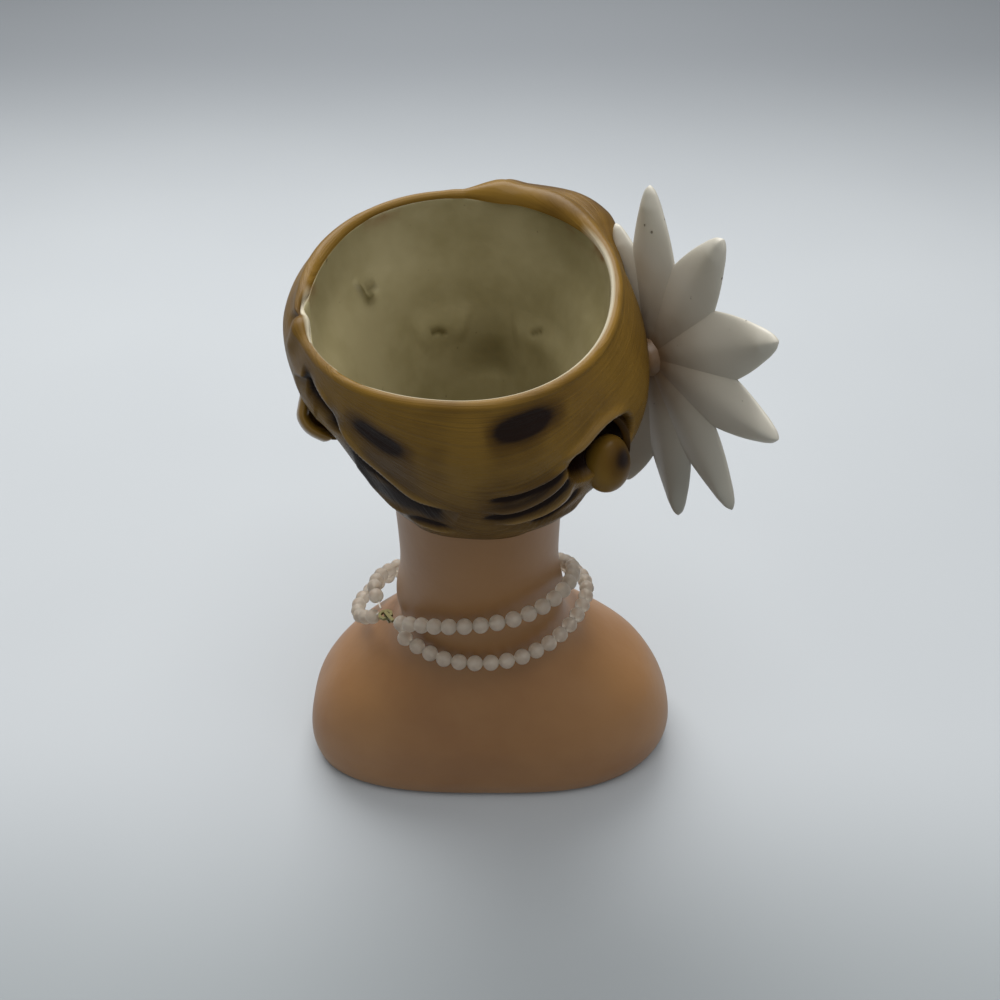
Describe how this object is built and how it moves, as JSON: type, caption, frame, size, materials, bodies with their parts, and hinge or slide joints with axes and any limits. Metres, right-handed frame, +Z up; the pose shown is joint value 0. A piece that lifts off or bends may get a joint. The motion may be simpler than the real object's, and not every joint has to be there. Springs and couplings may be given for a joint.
{
  "type": "head planter",
  "caption": "Hollow glazed head-and-shoulders planter with a wide open crown, wrapped hair, side flower and a lift-off double bead necklace.",
  "frame": {"origin": "centre of the flat underside the bust stands on, below the middle of the shoulders", "axes": "+Z up, the face looks along -Y, the flower is on the head's own right side (-X)"},
  "size_m": [0.1112, 0.0757, 0.1634],
  "materials": {
    "glazed_body": "satin",
    "hair_glaze": "gloss",
    "flower_glaze": "satin",
    "bead_glass": "frosted",
    "thread": "matte",
    "clasp_metal": "polished"
  },
  "bodies": {
    "planter": {"vase_body": "glazed_body", "curl_left": "hair_glaze", "curl_right": "hair_glaze", "petal_01": "flower_glaze", "petal_02": "flower_glaze", "petal_03": "flower_glaze", "petal_04": "flower_glaze", "petal_05": "flower_glaze", "petal_06": "flower_glaze", "petal_07": "flower_glaze", "petal_08": "flower_glaze", "petal_09": "flower_glaze", "petal_10": "flower_glaze", "petal_11": "flower_glaze", "flower_boss": "hair_glaze", "flower_centre": "flower_glaze"},
    "necklace": {"beads_upper": "bead_glass", "beads_lower": "bead_glass", "thread_upper": "thread", "thread_lower": "thread", "clasp_hook": "clasp_metal", "clasp_ring": "clasp_metal"}
  },
  "joints": [
    {"name": "necklace_lift", "type": "slide", "parent": "planter", "child": "necklace", "axis": [0, 0, 1], "range_m": [0, 0.01]}
  ]
}
